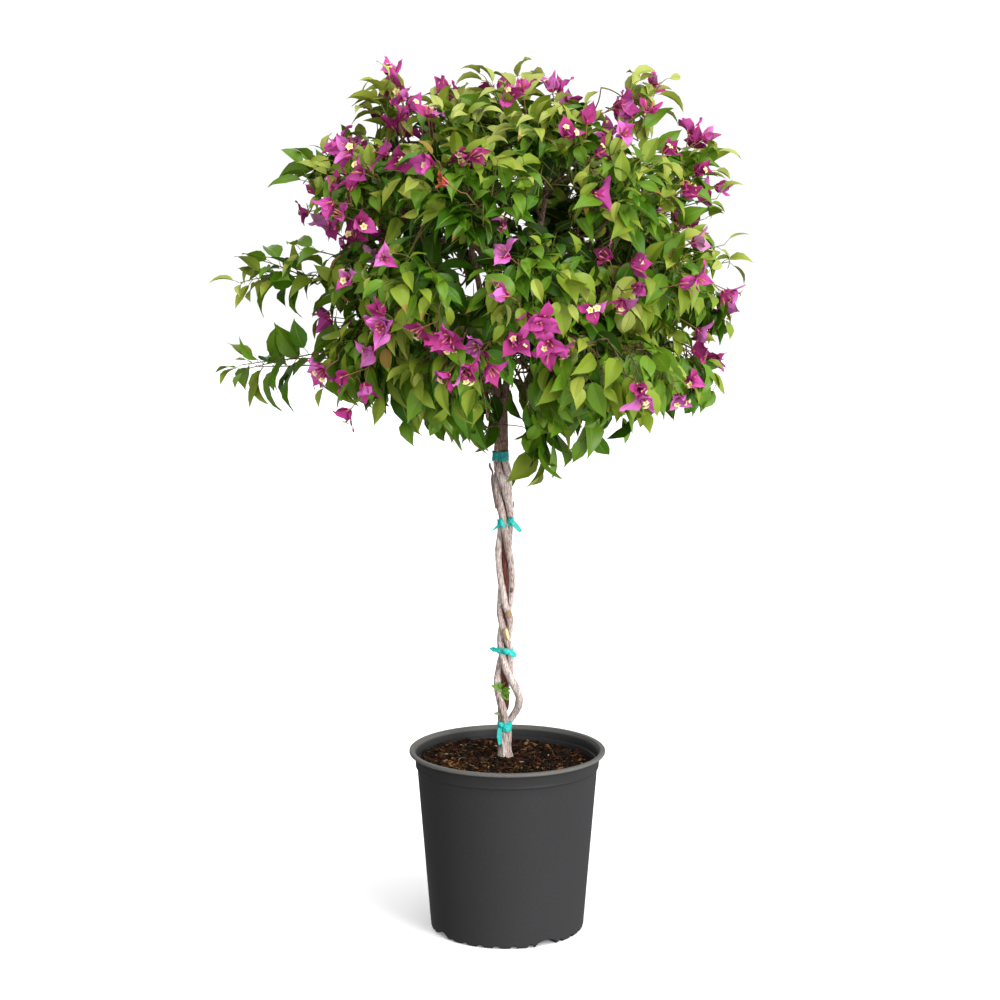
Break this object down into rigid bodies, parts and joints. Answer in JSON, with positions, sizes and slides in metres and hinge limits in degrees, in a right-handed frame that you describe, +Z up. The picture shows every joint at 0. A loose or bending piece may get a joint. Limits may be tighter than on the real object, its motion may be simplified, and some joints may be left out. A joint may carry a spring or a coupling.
{
  "type": "potted bougainvillea standard with a braided trunk",
  "caption": "Flowering standard tree: round leafy crown with magenta blossom on a slim braided trunk, tied with tape, in a round tapered nursery pot.",
  "frame": {"origin": "on the pot's axis, at the flat underside of the pot", "axes": "+Z up along the pot's axis; -Y towards the viewer, +X to the viewer's right"},
  "size_m": [0.6777, 0.5659, 1.1384],
  "materials": {
    "pot": "satin charcoal plastic with a paler, scuffed lip",
    "soil": "damp bark and fibre potting mix",
    "bark": "pale, finely furrowed bark",
    "dark_bark": "brown young bark",
    "tie": "stretched tape with a slight gloss",
    "foliage": "smooth leaves with a soft gloss",
    "blossom": "papery bracts with fine veins"
  },
  "bodies": {
    "root": {"pot": "pot", "soil": "soil", "trunk_foot": "bark", "trunk_strand_front": "bark", "trunk_strand_left": "bark", "trunk_strand_right": "bark", "trunk_core": "dark_bark", "trunk_neck": "dark_bark", "tie_foot": "tie", "tie_lower": "tie", "tie_upper": "tie", "tie_top": "tie", "leader_left": "dark_bark", "leader_right": "dark_bark", "limb_1": "dark_bark", "limb_2": "dark_bark", "limb_3": "dark_bark", "limb_4": "dark_bark", "limb_5": "dark_bark", "limb_6": "dark_bark", "limb_7": "dark_bark", "foliage_lower_1": "foliage", "foliage_lower_2": "foliage", "foliage_lower_3": "foliage", "foliage_lower_4": "foliage", "foliage_lower_5": "foliage", "foliage_lower_6": "foliage", "foliage_lower_7": "foliage", "foliage_middle_1": "foliage", "foliage_middle_2": "foliage", "foliage_middle_3": "foliage", "foliage_middle_4": "foliage", "foliage_middle_5": "foliage", "foliage_middle_6": "foliage", "foliage_middle_7": "foliage", "foliage_shoulder_1": "foliage", "foliage_shoulder_2": "foliage", "foliage_shoulder_3": "foliage", "foliage_shoulder_4": "foliage", "foliage_shoulder_5": "foliage", "foliage_shoulder_6": "foliage", "foliage_shoulder_7": "foliage", "foliage_skirt_1": "foliage", "foliage_skirt_2": "foliage", "foliage_skirt_3": "foliage", "foliage_skirt_4": "foliage", "foliage_spray_hanging": "foliage", "foliage_spray_left_lower": "foliage", "foliage_spray_left_shoulder": "foliage", "foliage_spray_left_upper": "foliage", "foliage_spray_right_lower": "foliage", "foliage_spray_right_middle": "foliage", "foliage_spray_right_shoulder": "foliage", "foliage_spray_top_left": "foliage", "foliage_spray_top_middle": "foliage", "foliage_spray_top_right": "foliage", "foliage_top_1": "foliage", "foliage_top_2": "foliage", "foliage_top_3": "foliage"}
  },
  "joints": []
}
